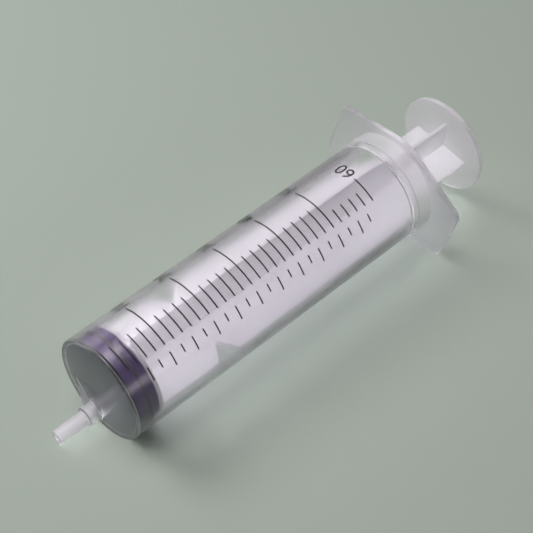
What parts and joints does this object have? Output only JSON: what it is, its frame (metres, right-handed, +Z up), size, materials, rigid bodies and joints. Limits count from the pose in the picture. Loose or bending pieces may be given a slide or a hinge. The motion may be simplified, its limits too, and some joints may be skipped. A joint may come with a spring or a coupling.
{
  "type": "oral syringe",
  "caption": "Slip-tip oral syringe: clear frosted barrel with finger flange and off-centre nozzle, dark rubber stopper, cross-ribbed plunger rod with a thumb plate.",
  "frame": {"origin": "centre of the barrel's front end face, on the barrel's axis; the nozzle stands in front of it at negative X", "axes": "+X along the barrel from the nozzle end to the thumb plate; +Z up, with the syringe lying on one slanted edge of its finger flange"},
  "size_m": [0.1466, 0.051, 0.0358],
  "materials": {
    "barrel_plastic": "frosted translucent",
    "rod_plastic": "milky translucent",
    "stopper_rubber": "smooth rubber",
    "scale_ink": "printed ink"
  },
  "bodies": {
    "barrel": {"barrel": "barrel_plastic", "scale_print": "scale_ink"},
    "stopper": {"stopper": "stopper_rubber"},
    "plunger": {"plunger_rod": "rod_plastic"}
  },
  "joints": [
    {"name": "plunger_slide", "type": "slide", "parent": "barrel", "child": "stopper", "axis": [1, 0, 0], "range_m": [0, 0.096]},
    {"name": "plunger_twist", "type": "hinge", "parent": "stopper", "child": "plunger", "pos_m": [0.00865, 0, 0], "axis": [1, 0, 0], "continuous": true}
  ]
}
